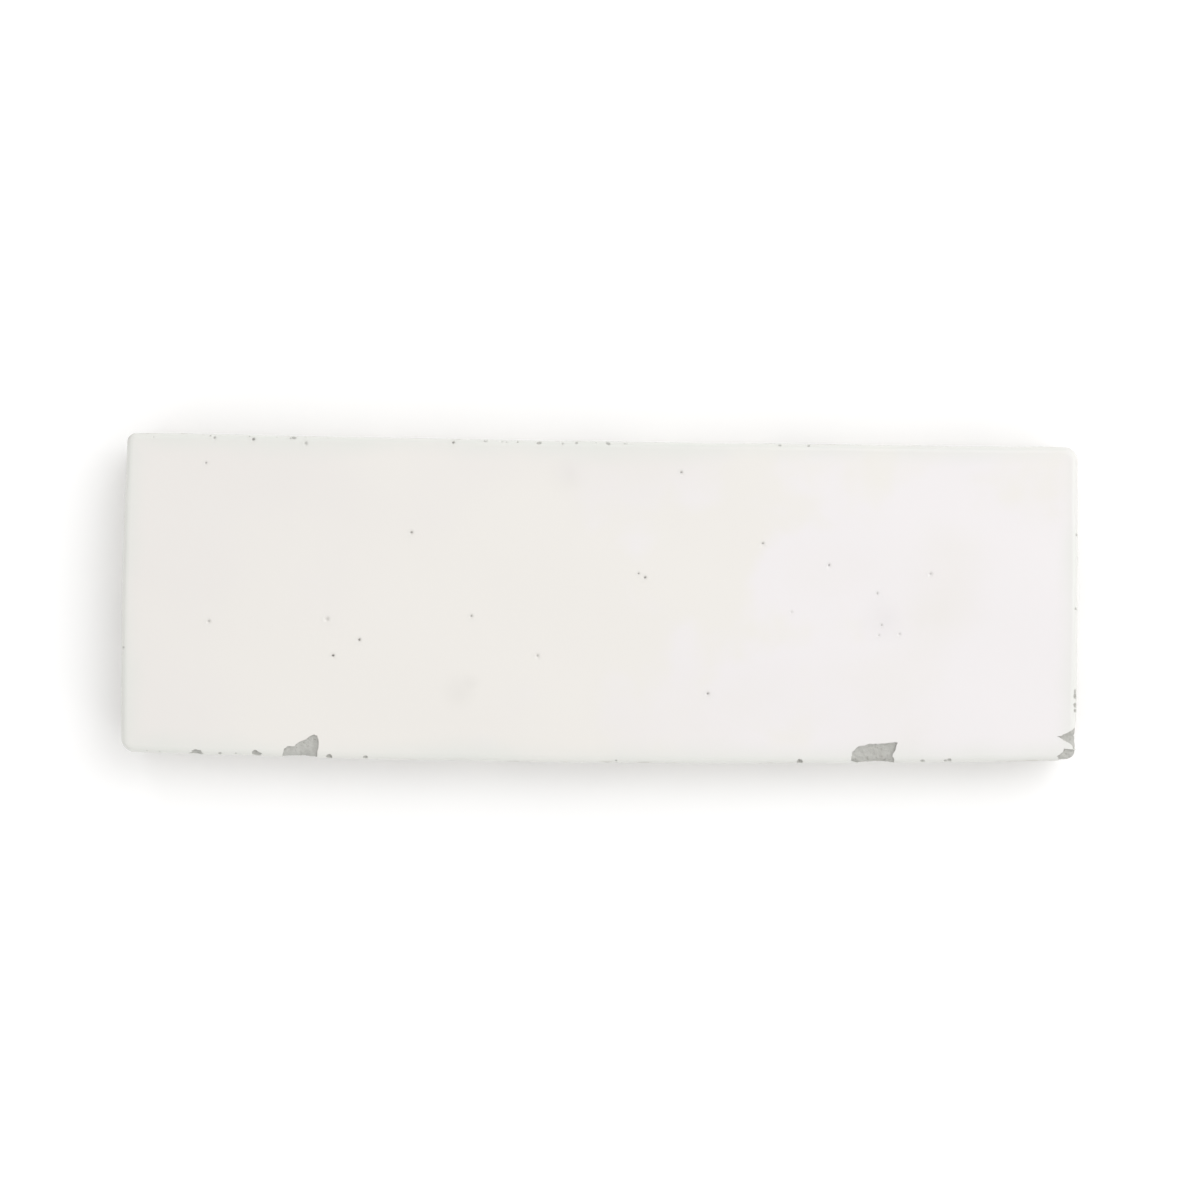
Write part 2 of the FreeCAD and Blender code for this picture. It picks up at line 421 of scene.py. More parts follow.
class GeometryBuilder(Builder):
    """Adds nodes to a geometry tree whose named inputs are the sizes in some settings."""

    sockets = {"FLOAT": "NodeSocketFloat", "INT": "NodeSocketInt"}

    def __init__(self, name, settings, takes_mesh=True):
        super().__init__(bpy.data.node_groups.new(name, "GeometryNodeTree"))
        faces = self.tree.interface
        faces.new_socket(name="Mesh", in_out="OUTPUT", socket_type="NodeSocketGeometry")
        if takes_mesh:
            faces.new_socket(name="Mesh", in_out="INPUT", socket_type="NodeSocketGeometry")
        faces.new_socket(name="Material", in_out="INPUT", socket_type="NodeSocketMaterial")
        sizes = list(own_properties(settings))
        for size in sizes:
            socket = faces.new_socket(name=size.name, in_out="INPUT", socket_type=self.sockets[size.type])
            socket.default_value = getattr(settings, size.identifier)
            socket.description = size.description
        self.entry = self.add("NodeGroupInput")
        fields = {size.identifier: Field(self, self.entry.outputs[size.name]) for size in sizes}
        self.size = SimpleNamespace(**fields)
        self.position = self.field("GeometryNodeInputPosition")
        self.normal = self.field("GeometryNodeInputNormal")

    def named(self, name):
        """A number stored on the mesh, as a geometry tree reads it."""
        return self.field("GeometryNodeInputNamedAttribute", {"Name": name}, data_type="FLOAT")

    def store(self, mesh, name, value, domain="POINT"):
        """The mesh with this number stored on it."""
        return self.field(
            "GeometryNodeStoreNamedAttribute", {"Geometry": mesh, "Name": name, "Value": value},
            data_type="FLOAT", domain=domain,
        )

    def chance(self, low, high, seed):
        """A random number for each point, the same in each run."""
        return self.field("FunctionNodeRandomValue", {"Min": low, "Max": high, "Seed": seed}, output=1)

    def move(self, mesh, **inputs):
        """The mesh with its points set by Position or Offset."""
        return self.field("GeometryNodeSetPosition", {"Geometry": mesh, **inputs})

    def mesh_of(self, holder):
        """The mesh of another object."""
        node = self.add("GeometryNodeObjectInfo")
        node.inputs["Object"].default_value = holder
        return Field(self, node.outputs["Geometry"])

    def finish(self, mesh):
        """Ends the tree: instances made real, and the material set."""
        real = self.field("GeometryNodeRealizeInstances", {"Geometry": mesh})
        material = Field(self, self.entry.outputs["Material"])
        faced = self.field("GeometryNodeSetMaterial", {"Geometry": real, "Material": material})
        leaving = self.add("NodeGroupOutput")
        self.plug(faced, leaving.inputs["Mesh"])
        return self.tree


def linked(name, data):
    """A new object in the scene."""
    holder = bpy.data.objects.new(name, data)
    bpy.context.scene.collection.objects.link(holder)
    return holder


def marked_points(name, places, numbers):
    """An object with a point at each place, and with these rows of numbers stored on the points."""
    points = bpy.data.meshes.new(name)
    points.from_pydata(places, [], [])
    for label, row in numbers.items():
        points.attributes.new(label, "FLOAT", "POINT").data.foreach_set("value", row)
    return linked(name, points)


def written(work, mesh):
    """The mesh, with the end of some work on its cells written into it."""
    work.to_mesh(mesh)
    work.free()
    return mesh


def own_properties(settings):
    """The sizes of a group of settings, without those that every group has."""
    return [item for item in settings.bl_rna.properties if item.identifier in settings.__annotations__]


def grown(mesh, tree, settings, material, name):
    """The plain mesh that a geometry tree makes of a mesh, with its inputs set from the settings."""
    piece = linked(name, mesh)
    modifier = piece.modifiers.new(name, "NODES")
    modifier.node_group = tree
    values = {item.name: getattr(settings, item.identifier) for item in own_properties(settings)}
    values["Material"] = material
    for item in tree.interface.items_tree:
        if item.in_out == "INPUT" and item.name in values:
            modifier[item.identifier] = values[item.name]
    dressed = piece.evaluated_get(bpy.context.evaluated_depsgraph_get())
    result = bpy.data.meshes.new_from_object(dressed)
    result.name = name
    bpy.data.objects.remove(piece)
    return result


def rolled(inset, radius):
    """How far a roll of this radius has dropped, this far in from its outline."""
    short = (radius - inset).at_least(0)
    return radius - (radius * radius - short * short).root()


def round_the_roll(path, radius):
    """How far in from the outline a walk from the middle of the roll, up on to the face, has come."""
    turned = (path / radius).at_most(math.pi / 4)
    return radius * (1 - (turned + math.pi / 4).cosine()) + (path - radius * math.pi / 4).at_least(0)


def face_height(size, x, y):
    """How far the glazed face lies above or below its own middle: a crown, with shallow waves askew."""
    crown_along = size.crown_along * (2 * x / size.tile_length) ** 2
    crown_across = size.crown_across * (2 * y / size.tile_width) ** 2
    turn_along = 2 * math.pi * x / size.wave_along + size.wave_start
    turn_across = 2 * math.pi * y / size.wave_across
    waves = size.wave_height * (turn_along + turn_across / 2).sine() * turn_across.cosine()
    return waves - (crown_along + crown_across)


def crowded_rows(line, half, roll):
    """How far in from the middle of the roll each row of cells lies. Rows crowd towards the roll."""
    crowding = 1.5 * mm
    gathered_share = 0.65
    reach = half - (1 - math.pi / 4) * roll
    start = (1 - abs(line)) * reach
    gathered = start - gathered_share * crowding * (1 - (-start / crowding).math("EXPONENT"))
    return gathered * reach / (reach - gathered_share * crowding)


def side_walk(size, roll, up):
    """The walk down the sides: the lower half of the roll, an upright band, the lean, and the worn arris.

    Gives the length of the whole walk, and at each point how far it has come, how high the point lies,
    and how far in from the outline.
    """
    first_rows = 0.42
    whole = size.thickness - (roll + size.back_roll) * (1 - math.pi / 4)
    down = (1 - up) / 2
    fall = down * (first_rows + (1 - first_rows) * down) * whole
    rest = whole - fall
    top_turn = math.pi / 4 - (fall / roll).at_most(math.pi / 4)
    low_path = rest.at_most(size.back_roll * math.pi / 4)
    low_turn = math.pi / 4 - low_path / size.back_roll
    height = (
        size.thickness - roll * (1 - top_turn.sine()) - (fall - roll * math.pi / 4).at_least(0)
        + size.back_roll * math.pi / 4 - low_path - size.back_roll * low_turn.sine()
    )
    leaning_part = size.thickness - size.upright_band
    lean = size.side_lean * ((leaning_part - height) / leaning_part).at_least(0)
    inset = roll * (1 - top_turn.cosine()) + size.back_roll * (1 - low_turn.cosine()) + lean
    return whole, fall, height, inset


def corners_rounded(size, along, across, sharp_x, sharp_y):
    """Rounds the corners in plan, each with its own radius, and puts each point in its own quarter."""
    right = along.above(0)
    rear = across.above(0)
    front_radius = size.front_left_radius + (size.front_right_radius - size.front_left_radius) * right
    rear_radius = size.rear_left_radius + (size.rear_right_radius - size.rear_left_radius) * right
    radius = front_radius + (rear_radius - front_radius) * rear
    past_x = (sharp_x - size.tile_length / 2 + radius).at_least(0)
    past_y = (sharp_y - size.tile_width / 2 + radius).at_least(0)
    ring = past_x.at_least(past_y).at_least(HAIR)
    x = sharp_x - past_x + past_x * (1 - (past_y / ring) ** 2 / 2).root()
    y = sharp_y - past_y + past_y * (1 - (past_x / ring) ** 2 / 2).root()
    return x * along.sign(), y * across.sign()


def bowed(size, x, y):
    """Bows the four edges, cuts the corners in, and runs the rear edge in."""
    u = x / (size.tile_length / 2)
    v = y / (size.tile_width / 2)
    bow_y = (1 - u * u) * (size.rear_bow * (1 + v) / 2 - size.front_bow * (1 - v) / 2)
    bow_x = (1 - v * v) * (size.right_bow * (1 + u) / 2 - size.left_bow * (1 - u) / 2)
    front_cut = -size.front_right_short * (1 + u)
    rear_cut = size.rear_left_short * (1 - u) - size.rear_right_short * (1 + u)
    cut = ((1 - v) * front_cut + (1 + v) * rear_cut) / 4
    drop = size.rear_right_drop * (1 + u) * (1 + v) / 4
    return x + bow_x + cut, y + bow_y - drop


def slab_tree(settings):
    """The slab before wear: bowed cut edges, rounded corners, a rolled glazed edge, a crowned face."""
    b = GeometryBuilder("Slab", settings, takes_mesh=False)
    size = b.size
    half_length = size.tile_length / 2
    half_width = size.tile_width / 2
    cube = b.field("GeometryNodeMeshCube", {
        "Size": (2, 2, 2), "Vertices X": size.tile_length / size.cell,
        "Vertices Y": size.tile_width / size.cell, "Vertices Z": size.side_rows,
    })
    along, across, up = b.parts(b.position)
    on_face = up.above(CUBE_END)
    on_back = (-up).above(CUBE_END)
    on_side = 1 - on_face - on_back

    # The radius of the roll changes slowly along the edge
    least_roll = 0.72
    roll_range = 0.56
    place = b.vector(along * half_length, across * half_width, 0)
    roll = size.edge_roll * (least_roll + roll_range * b.noise(place, 24 * mm))

    path_along = crowded_rows(along, half_length, roll)
    path_across = crowded_rows(across, half_width, roll)
    side_path, fall, height, inset = side_walk(size, roll, up)
    sharp_x = half_length - round_the_roll(path_along, roll)
    sharp_y = half_width - round_the_roll(path_across, roll)
    rim_inset = roll * (1 - math.cos(math.pi / 4))
    sharp_x = sharp_x * (half_length - inset) / (half_length - rim_inset)
    sharp_y = sharp_y * (half_width - inset) / (half_width - rim_inset)
    x, y = bowed(size, *corners_rounded(size, along, across, sharp_x, sharp_y))

    # The hand-cut line wanders, a third as fast down the side as along it, and less and less in on the face
    wander = size.rag_depth * b.noise(b.vector(x, y, height / 3), size.rag_length, detail=3.0)
    fade = 3 * mm
    x = x - along.sign() * wander * (1 - (half_length - sharp_x - inset * on_side).rise(0, fade))
    y = y - across.sign() * wander * (1 - (half_width - sharp_y - inset * on_side).rise(0, fade))

    face_inset = (half_length - sharp_x).at_most(half_width - sharp_y)
    back_inset = face_inset - size.side_lean
    z = (
        on_side * height + on_face * (size.thickness - rolled(face_inset, roll))
        + on_back * rolled(back_inset, size.back_roll)
    )
    z = z + face_height(size, x, y) * (z / size.thickness)

    path = path_along.at_most(path_across)
    slab = b.store(cube, "fall", on_side * fall - on_face * path + on_back * (side_path + path))
    slab = b.move(slab, Position=b.vector(x, y, z))
    return b.finish(slab)


def refined(mesh):
    """Finer cells where a pinhole lies and along the rolled edge, for their small shapes."""
    work = bmesh.new()
    work.from_mesh(mesh)
    fall = work.verts.layers.float["fall"]
    inner_end, outer_end = -2.2 * mm, 2.4 * mm
    level = 0.02 * mm

    def runs_along_the_edge(edge):
        first, second = edge.verts
        near = all(inner_end < point[fall] < outer_end for point in edge.verts)
        return near and abs(first[fall] - second[fall]) < level

    bmesh.ops.subdivide_edges(work, edges=[e for e in work.edges if runs_along_the_edge(e)], cuts=1)

    for x, y, radius, _ in PINHOLES:
        middle = Vector((x * mm, y * mm))
        reach = radius * mm * 2.2 + 0.3 * mm
        near = [
            face for face in work.faces
            if face.normal.z > 0.5 and (face.calc_center_median().xy - middle).length < reach
        ]
        edges = list(dict.fromkeys(edge for face in near for edge in face.edges))
        bmesh.ops.subdivide_edges(work, edges=edges, cuts=3, use_grid_fill=True)

    return written(work, bpy.data.meshes.new("fine_slab"))


def pinhole_points():
    """An object with one point for each pinhole, laid flat, with the radius of its mouth and its depth."""
    places = [(x * mm, y * mm, 0) for x, y, _, _ in PINHOLES]
    mouths = [radius * mm for _, _, radius, _ in PINHOLES]
    bursts = [depth for _, _, _, depth in PINHOLES]
    return marked_points("pinholes", places, {"mouth": mouths, "burst": bursts})


def inside_glaze(b, size, x, y, fall):
    """How far inside the glazed part a point is: the glaze ends at a line that wanders on the sides."""
    drips = b.noise(b.vector(x, y, 0), size.drip_length).rise(0.48, 0.74)
    fray = b.noise(b.vector(x, y, 0), size.fray_length, detail=3.0, roughness=0.6) - 0.5
    line = size.glaze_reach + size.drip_reach * drips + size.fray_reach * 2 * fray
    return line - fall


def clay_marks(b, size, x, y, z, on_back):
    """How much the marks of the bare clay take away, and how deep a hollow they look.

    It has grain and small holes all over, hollows with crisp ridges between them where the sides were
    struck, and drag marks and wire marks on the back. Nothing is added, so that the tile stays as large as
    it was cut.
    """
    grain = b.noise(b.position, size.clay_grain_length, detail=4.0, roughness=0.7).rise(0.72, 0.3)
    grain = size.clay_grain * grain
    holes = 1 - b.cells(b.position, 2.1 * mm).rise(0.12, 0.30)
    holes = holes * b.noise(b.position, 6 * mm).rise(0.50, 0.62)
    holes = size.clay_hole * holes

    # Struck hollows are taller than wide and lean a little, each one as deep as chance has it
    sway = 3 * mm * b.noise(b.position, 5 * mm)
    lean, squeeze, sharpness = 0.35, 0.55, 1.35
    hollow_share, chance_share, scratch_share = 0.62, 0.38, 0.2
    upright = b.vector(x + z * lean + sway, y + z * lean + sway, z * squeeze)
    hollow = (1 - (b.cells(upright, size.dressing_length) * sharpness) ** 2).at_least(0)
    struck = hollow_share * hollow + chance_share * b.cells(upright, size.dressing_length, output="Color")
    scratch_lean, long_stretch = 0.5, 0.06
    scratched = b.vector(x + z * scratch_lean, y + z * scratch_lean, z * long_stretch)
    scratch = b.noise(scratched, 0.8 * mm).rise(0.62, 0.40)
    side_marks = size.dressing_depth * (struck + scratch_share * scratch)

    # The back was dragged lengthwise, and cut with a wire that swung round the hand that held it
    lengthwise = b.vector(x * long_stretch, y, z)
    dragging = b.noise(lengthwise, size.drag_length, detail=4.0, roughness=0.65).rise(0.68, 0.36)
    slump = b.noise(b.vector(x, y, 0), 24 * mm, detail=1.0).rise(0.30, 0.72)
    hand_x, hand_y = -0.21, 0.03
    turn = ((x - hand_x) ** 2 + (y - hand_y) ** 2).root() + sway * 0.5
    wire = (turn * (2 * math.pi) / size.wire_length).sine() * 0.5 + 0.5
    back_marks = size.drag_depth * (dragging + slump) + size.wire_depth * wire

    # Small marks look deeper than they are, and so do those of the back: they get more painted shade than
    # their depth alone gives
    small_gain, back_gain = 1.5, 0.3
    marks = side_marks * (1 - on_back) + back_marks * on_back
    dent = marks * (1 + on_back * back_gain) + grain * small_gain + holes * small_gain
    return marks + grain + holes, dent


def pinhole_wells(b, size, holes, x, y, on_face):
    """How far pinholes move the glaze, how burst it is, and how strong the halo round them is."""
    flat = b.vector(x, y, 0)
    mouths = b.mesh_of(holes)
    spot = {"Geometry": mouths, "Sample Position": flat}
    away = b.field("GeometryNodeProximity", spot, output="Distance", target_element="POINTS")
    nearest = b.field("GeometryNodeSampleNearest", spot, domain="POINT")
    mouth, burst = [
        b.field(
            "GeometryNodeSampleIndex", {"Geometry": mouths, "Value": b.named(name), "Index": nearest},
            data_type="FLOAT", domain="POINT",
        )
        for name in ("mouth", "burst")
    ]

    # All in radii of the mouth, out from the middle
    floor_edge, wall_edge = 0.30, 1.05
    lip_crest, lip_width = 1.45, 0.7
    halo_start, halo_end = 1.0, 3.2
    uneven = 0.75 + 0.5 * b.noise(b.position, 0.35 * mm)
    reach = away / (mouth * uneven)
    pit = (1 - reach.rise(floor_edge, wall_edge)) * on_face
    lip = reach.bump_at(lip_crest, lip_width) * on_face
    halo = (1 - reach.rise(halo_start, halo_end)) * burst * on_face
    return mouth * burst * (size.pinhole_lip * lip - size.pinhole_depth * pit), pit * burst, halo


def surface_tree(settings, holes):
    """Relief: the swells and ripples of the glaze, its frayed edge, the marks of the clay, and pinholes."""
    b = GeometryBuilder("Surface", settings)
    size = b.size
    fall = b.named("fall")
    x, y, z = b.parts(b.position)
    on_face = (-fall).above(0)
    on_side = fall.rise(0.5 * mm, 1.8 * mm)
    on_back = (-b.parts(b.normal)[2]).rise(0.5, 0.9)

    glaze = inside_glaze(b, size, x, y, fall)
    glazed = glaze.rise(-0.12 * mm, 0.12 * mm)
    bead = glaze.bump_at(0.35 * mm, 0.5 * mm) * fall.rise(0, 1.5 * mm)
    taken, dent = clay_marks(b, size, x, y, z, on_back)
    clay = -on_side * taken

    # The glaze lies over the clay, and evens it out
    swell = b.noise(b.position, size.swell_length, detail=1.0) - 0.5
    ripple = b.noise(b.position, size.ripple_length) - 0.5
    inland = (-fall).rise(0, 5 * mm)
    shows_through = 0.35
    coat = size.swell_height * swell * inland + size.ripple_height * ripple - size.ripple_height
    coat = coat + clay * shows_through - size.glaze_thickness * on_side * (1 - bead)
    wells, pit, halo = pinhole_wells(b, size, holes, x, y, on_face)
    coat = coat + wells

    offset = (clay - 2 * size.glaze_thickness * on_side * (1 - on_back)) * (1 - glazed) + coat * glazed
    mesh = Field(b, b.entry.outputs["Mesh"])
    for name, value in {"glaze": glaze / mm, "dent": dent / mm, "pit": pit, "halo": halo}.items():
        mesh = b.store(mesh, name, value)
    mesh = b.move(mesh, Offset=b.scaled(b.normal, offset))
    return b.finish(mesh)


def span_of(line):
    """The middle between the two ends of a flake's line, and half the run between them."""
    start, end = Vector(line[0]), Vector(line[-1])
    return (start + end) / 2, (start - end).length / 2


def broken_line(line, settings):
    """The line of a flake in short steps, with a wander that leaves its ends where they are."""
    outline = []
    for first, second in zip(line, line[1:]):
        first, second = Vector(first), Vector(second)
        steps = max(1, round((second - first).length / FLAKE_STEP))
        outline += [first.lerp(second, step / steps) for step in range(steps)]
    outline.append(Vector(line[-1]))
    jag = settings.flake_jag / mm
    broad, small, small_share = 1.3, 4.0, 0.4
    for point in outline[1:-1]:
        spot = Vector((point.x, point.y, settings.flake_seed))
        wander = noise.noise_vector(spot * broad).xy * jag
        point += wander + noise.noise_vector(spot * small).xy * jag * small_share
    return outline


def flake_cutter(line, settings, surface):
    """A closed bowl that takes away one flake. Its mouth is the line that the flake broke along."""
    heart, half_run = span_of(line)
    along = (Vector(line[-1]) - Vector(line[0])).normalized()
    outline = broken_line(line, settings)
    ledge, drop, bowl = settings.flake_ledge / mm, settings.flake_drop / mm, settings.flake_bowl / mm
    grain = settings.flake_grain / mm
    above = CAD_HIGH.z / mm + 1

    def struck(place):
        """Where a plumb line over this place meets the tile, and how it lies there."""
        top = Vector((place.x * mm, place.y * mm, above * mm))
        hit, normal, _, _ = surface.ray_cast(top, Vector((0, 0, -1)))
        return hit, normal

    face_level = max(hit.z for hit, _ in map(struck, outline) if hit) / mm

    def floor(place, share_out):
        """Height of the broken floor, which falls as a shell from under the glaze out through the side."""
        rise_at_ends, roundness, steepest = 0.42, 0.85, 0.15
        scale, softness, gap, layers = 1.4, 0.9, 2.1, 4
        hit, normal = struck(place)
        spot = Vector((place.x, place.y, settings.flake_seed)) * scale
        rough = noise.fractal(spot, softness, gap, layers)
        off_middle = min(1, abs((place - heart).dot(along)) / half_run)
        lowest = face_level - drop * (1 - rise_at_ends * off_middle ** 2)
        if hit is None:
            return lowest - grain * rough
        depth = (ledge + bowl * (1 - share_out) ** roundness) / max(normal.z, steepest)
        return max(hit.z / mm - depth, lowest) - grain * rough

    def ring(share_out):
        """One round of places on the floor. The outermost lies at the top of the ledge."""
        clear, scale, swing = 0.1, 1.1, 0.04
        if share_out == 1:
            return [(point, floor(point, 1) + (ledge + clear)) for point in outline]
        places = []
        for point in outline:
            spot = Vector((point.x * scale, point.y * scale, settings.flake_seed))
            place = heart + (point - heart) * share_out
            place = place + (point - heart) * (noise.noise(spot) * swing)
            places.append((place, floor(place, share_out)))
        return places

    work = bmesh.new()
    rows = []
    for row in [[(point, above) for point in outline], *map(ring, FLAKE_RINGS)]:
        rows.append([work.verts.new((place.x * mm, place.y * mm, level * mm)) for place, level in row])
    for upper, lower in zip(rows, rows[1:]):
        for i in range(len(upper)):
            j = (i + 1) % len(upper)
            work.faces.new((upper[i], upper[j], lower[j], lower[i]))
    work.faces.new(list(reversed(rows[0])))
    work.faces.new(rows[-1])
    bmesh.ops.triangulate(work, faces=work.faces)
    bmesh.ops.recalc_face_normals(work, faces=work.faces)
    return written(work, bpy.data.meshes.new("flake"))


def skin_of(mesh):
    """The skin of a mesh, to find its nearest place or to drop a plumb line on it."""
    points = [point.co for point in mesh.vertices]
    return BVHTree.FromPolygons(points, [face.vertices for face in mesh.polygons])


def flake_cutters(slab, settings):
    """One object with the bowls of all the lost flakes."""
    noise.seed_set(settings.flake_seed)
    surface = skin_of(slab)
    joined = bmesh.new()
    for line in FLAKES:
        joined.from_mesh(flake_cutter(line, settings, surface))
    return linked("flakes", written(joined, bpy.data.meshes.new("flakes")))


def nick_points(mesh, settings):
    """An object with one point on the roll for each nick, with its run along the edge and its way out."""
    falls = mesh.attributes["fall"].data
    rim = [point.co.copy() for point in mesh.vertices if abs(falls[point.index].value) < HAIR]
    chance = random.Random(settings.nick_seed)
    wanted = [(Vector((x * mm, y * mm, CAD_HIGH.z)), run * mm) for x, y, run in NICKS]
    tries = 6
    for _ in range(settings.nick_count * tries):
        run = settings.nick_smallest + (settings.nick_largest - settings.nick_smallest) * chance.random() ** 2
        wanted.append((chance.choice(rim), run))
    flake_places = [(heart * mm, half_run * mm) for heart, half_run in map(span_of, FLAKES)]

    # Small nicks keep off the larger ones and the flakes, and lie closer together in some stretches
    kept = []
    room = settings.nick_spacing
    clump_scale, clump_spread, clump_floor = 45, 0.3, -0.1
    for place, run in wanted:
        spot = min(rim, key=lambda point: (point - place).length)
        off_nicks = all((spot - other).length > (run + other_run) / 2 + room for other, other_run in kept)
        off_flakes = all((spot.xy - heart).length > run + reach + 2 * room for heart, reach in flake_places)
        crowd = noise.noise(spot * clump_scale + Vector((settings.nick_seed, 0, 0)))
        crowded = crowd > clump_spread * chance.random() + clump_floor
        wanted_still = len(kept) < len(NICKS) + settings.nick_count
        if len(kept) < len(NICKS) or off_nicks and off_flakes and crowded and wanted_still:
            kept.append((spot, run))

    holder = marked_points("nicks", [spot for spot, _ in kept], {"run": [run for _, run in kept]})
    surface = skin_of(mesh)
    ways_out = holder.data.attributes.new("way_out", "FLOAT_VECTOR", "POINT").data
    for (spot, _), way_out in zip(kept, ways_out):
        way_out.vector = surface.find_nearest(spot)[1]
    return holder


def nick_grains(b, size, nicks):
    """A lumpy grain for each nick, set so far outside the roll that it bites out only a shallow shell."""
    run = b.named("run")
    outward = b.field("GeometryNodeInputNamedAttribute", {"Name": "way_out"}, data_type="FLOAT_VECTOR")
    out_x, out_y, _ = b.parts(outward)
    facing = out_y.math("ARCTAN2", out_x)
    tilt = b.chance(-size.nick_tilt, size.nick_tilt, size.nick_seed)
    squat = b.chance(0.75, 1.2, size.nick_seed)
    grain = b.field("GeometryNodeMeshIcoSphere", {"Radius": 1.0, "Subdivisions": 4})
    hollow = run * size.nick_round
    places = b.move(b.mesh_of(nicks), Offset=b.scaled(outward, hollow - run * size.nick_bite))
    grains = b.field("GeometryNodeInstanceOnPoints", {
        "Points": places, "Instance": grain, "Rotation": b.vector(tilt, 0, facing),
        "Scale": b.vector(hollow, hollow, hollow * squat),
    })
    grains = b.field("GeometryNodeRealizeInstances", {"Geometry": grains})
    lumps = (b.noise(b.position, 0.9 * mm, detail=1.0) - 0.5) * size.nick_lumps
    rough = (b.noise(b.position, 0.28 * mm) - 0.5) * size.nick_grain
    return b.move(grains, Offset=b.scaled(b.normal, run * (lumps + rough)))


def damage_tree(settings, nicks, flakes):
    """Bites the nicks and the lost flakes out of the glazed edge."""
    b = GeometryBuilder("Damage", settings)
    mesh = Field(b, b.entry.outputs["Mesh"])
    for cutter in (nick_grains(b, b.size, nicks), b.mesh_of(flakes)):
        broken = b.store(cutter, "broken", 1.0, domain="FACE")
        cut = b.add("GeometryNodeMeshBoolean", operation="DIFFERENCE", solver="MANIFOLD")
        b.plug(mesh, cut.inputs["Mesh 1"])
        b.plug(broken, cut.inputs["Mesh 2"])
        mesh = Field(b, cut.outputs["Mesh"])
    return b.finish(mesh)


def read_again(mesh, whole, settings):
    """Reads the stored numbers again from the whole tile, next to the breaks too, and stores how far under
    the glaze each point lies. The glaze is thinner along the roll."""
    rim_share = 0.3
    full_coat = 2.5 * mm
    surface = skin_of(whole)
    spots = [point.co for point in whole.vertices]
    stored = {name: [item.value for item in whole.attributes[name].data] for name in STORED}
    fresh = {name: [] for name in (*STORED, "under_glaze")}
    for point in mesh.vertices:
        place, _, face, depth = surface.find_nearest(point.co)
        corners = whole.polygons[face].vertices
        shares = poly_3d_calc([spots[corner] for corner in corners], place)
        for name, values in stored.items():
            fresh[name].append(sum(part * values[corner] for part, corner in zip(shares, corners)))
        inland = min(1, max(0, -fresh["fall"][-1] / full_coat))
        coat = settings.glaze_coat * (rim_share + (1 - rim_share) * inland * inland * (3 - 2 * inland))
        fresh["under_glaze"].append((depth - coat) / mm)
    for name, values in fresh.items():
        layer = mesh.attributes.get(name) or mesh.attributes.new(name, "FLOAT", "POINT")
        layer.data.foreach_set("value", values)
    return mesh


def shaded(mesh):
    """Smooth shading, with a crisp line wherever a break meets the glaze or the clay."""
    work = bmesh.new()
    work.from_mesh(mesh)
    broken = work.faces.layers.float["broken"]
    for face in work.faces:
        face.smooth = True
    for edge in work.edges:
        sides = {face[broken] > 0.5 for face in edge.link_faces}
        edge.smooth = len(sides) == 1
    return written(work, mesh)


def centred(mesh):
    """Moves the mesh so that it fills the middle of the packed box and stands on its floor."""
    xs, ys, zs = zip(*(point.co for point in mesh.vertices))
    middle = (CAD_LOW + CAD_HIGH) / 2
    along = middle.x - (min(xs) + max(xs)) / 2
    across = middle.y - (min(ys) + max(ys)) / 2
    shift = Vector((along, across, CAD_LOW.z - min(zs)))
    for point in mesh.vertices:
        point.co += shift
    return mesh


def glaze_colour(b, finish, place, patch):
    """Broad soft patches of warmer, cooler and greyer white, a thin grey edge, smudges, and pinholes."""
    x, y, _ = b.parts(place)
    half_length, half_width = 75 * mm, 25 * mm
    broad = b.noise(place, 34 * mm)

    # Painted light and shade: it is lighter and cooler towards the right end, and greyer towards the left, as
    # the light falls from the right
    cool_patch, painted_light_right = 0.7, 0.28
    grey_broad, painted_shade_left, grey_rear = 0.8, 0.15, 0.04
    coolness_and_light = patch * cool_patch + broad * (1 - cool_patch) + x / half_length * painted_light_right
    greyness_and_shade = broad * grey_broad + patch * (1 - grey_broad)
    greyness_and_shade = greyness_and_shade - x / half_length * painted_shade_left + y / half_width * grey_rear
    white = b.mixed(coolness_and_light.rise(0.52, 0.69), tuple(finish.glaze), tuple(finish.cool_glaze_and_light))
    white = b.mixed(greyness_and_shade.rise(0.48, 0.70), white, tuple(finish.grey_glaze_and_shade))
    thin = (b.attribute("fall") / mm + patch * 5.0).rise(-1.6, 3.6)
    white = b.mixed(thin, white, tuple(finish.thin_glaze))
    smudge = 0
    for smudge_x, smudge_y, radius in SMUDGES:
        away = ((x - smudge_x * mm) ** 2 + (y - smudge_y * mm) ** 2).root() / (radius * mm)
        smudge = (1 - (away + patch * 2.4).rise(1.2, 2.9)).at_least(smudge)
    white = b.mixed(smudge * finish.smudges, white, tuple(finish.burst))
    white = b.mixed(b.attribute("halo") * finish.halos, white, tuple(finish.clay))
    # The bottom of a pinhole: the bare clay, darkened further as painted shade by how deep the pit is
    return b.mixed(b.attribute("pit").rise(0.08, 0.95), white, tuple(finish.burst))


